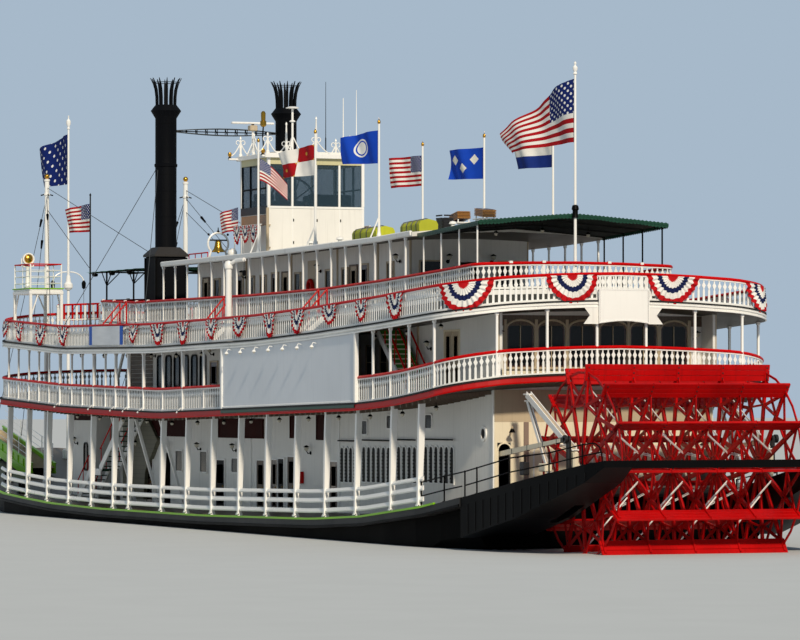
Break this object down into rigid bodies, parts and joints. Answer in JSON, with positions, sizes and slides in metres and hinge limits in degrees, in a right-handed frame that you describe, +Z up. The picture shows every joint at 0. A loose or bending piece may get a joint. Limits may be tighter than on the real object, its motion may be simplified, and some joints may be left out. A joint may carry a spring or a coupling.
{
  "type": "stern-wheel paddle steamer, 1:10 scale model",
  "caption": "Three-deck excursion river steamer with a stern paddle wheel, tall chimneys and a pilothouse; scale model, flat-bottomed, with turning wheel and rudders.",
  "frame": {"origin": "bottom centre of the whole boat's box: on the floor under the flat hull, midway between stem and stern", "axes": "+X towards the bow, +Y to port, +Z up"},
  "size_m": [8.085, 1.4, 2.233],
  "materials": {
    "black_hull_paint": "satin black paint",
    "white_paint": "white oil paint on wood",
    "red_paint": "bright red paint on wood",
    "green_paint": "green paint",
    "engine_iron": "dark iron",
    "black_pipe": "black paint",
    "chimney_black": "matt black heat-proof paint",
    "bell_brass": "polished brass"
  },
  "bodies": {
    "root": {"hull": "black_hull_paint", "main_deck": "black_hull_paint", "wheel_timber_port": "black_hull_paint", "wheel_timber_starboard": "black_hull_paint", "wheel_brace_port": "white_paint", "wheel_brace_starboard": "white_paint", "engine_port": "engine_iron", "engine_starboard": "engine_iron", "wheel_guard_beam": "black_hull_paint", "boilers": "engine_iron", "main_house": "white_paint", "guard_stanchions_port": "white_paint", "guard_stanchions_starboard": "white_paint", "pipe_rail_port": "black_pipe", "pipe_rail_starboard": "black_pipe", "boiler_deck": "red_paint", "saloon": "white_paint", "hurricane_deck": "white_paint", "boiler_deck_railing_port": "white_paint", "boiler_deck_railing_starboard": "white_paint", "name_panel_port": "white_paint", "name_panel_starboard": "white_paint", "hurricane_deck_railing_port": "white_paint", "hurricane_deck_railing_starboard": "white_paint", "stern_sign": "white_paint", "texas_deck": "white_paint", "texas_house": "white_paint", "texas_roof": "white_paint", "stern_canopy": "green_paint", "texas_railing": "white_paint", "pilothouse": "white_paint", "pilothouse_roof": "white_paint", "chimney_spreader": "engine_iron", "chimney_port": "chimney_black", "chimney_starboard": "chimney_black", "derrick_mast_port": "white_paint", "derrick_mast_starboard": "white_paint", "landing_stage_port": "green_paint", "landing_stage_starboard": "green_paint", "searchlight_platform_port": "white_paint", "searchlight_platform_starboard": "white_paint", "jackstaff": "white_paint", "ensign_staff": "white_paint", "forward_awning": "green_paint", "roof_bell": "bell_brass", "radar_mast": "white_paint", "after_stairs_port": "green_paint", "after_stairs_starboard": "green_paint"},
    "paddle_wheel": {"wheel_shaft": "engine_iron", "wheel_frame_1": "red_paint", "wheel_frame_2": "red_paint", "wheel_frame_3": "red_paint", "wheel_frame_4": "red_paint", "wheel_frame_5": "red_paint", "paddle_boards": "red_paint"},
    "rudder_port": {"rudder_port": "engine_iron"},
    "rudder_center": {"rudder_center": "engine_iron"},
    "rudder_starboard": {"rudder_starboard": "engine_iron"},
    "radar_scanner": {"radar_scanner": "white_paint"}
  },
  "joints": [
    {"name": "wheel_spin", "type": "hinge", "parent": "root", "child": "paddle_wheel", "pos_m": [-3.5575, 0, 0.502], "axis": [0, 1, 0], "continuous": true},
    {"name": "rudder_center_turn", "type": "hinge", "parent": "root", "child": "rudder_center", "pos_m": [-3.0175, 0, 0.12], "axis": [0, 0, 1], "range_deg": [-40, 40]},
    {"name": "rudder_port_turn", "type": "hinge", "parent": "root", "child": "rudder_port", "pos_m": [-3.0175, 0.3, 0.12], "axis": [0, 0, 1], "range_deg": [-40, 40]},
    {"name": "rudder_starboard_turn", "type": "hinge", "parent": "root", "child": "rudder_starboard", "pos_m": [-3.0175, -0.3, 0.12], "axis": [0, 0, 1], "range_deg": [-40, 40]},
    {"name": "radar_turn", "type": "hinge", "parent": "root", "child": "radar_scanner", "pos_m": [0.3925, 0.19, 1.989], "axis": [0, 0, 1], "continuous": true}
  ],
  "couplings": [
    {"joint": "rudder_port_turn", "follows": "rudder_center_turn", "ratio": 1},
    {"joint": "rudder_starboard_turn", "follows": "rudder_center_turn", "ratio": 1}
  ]
}
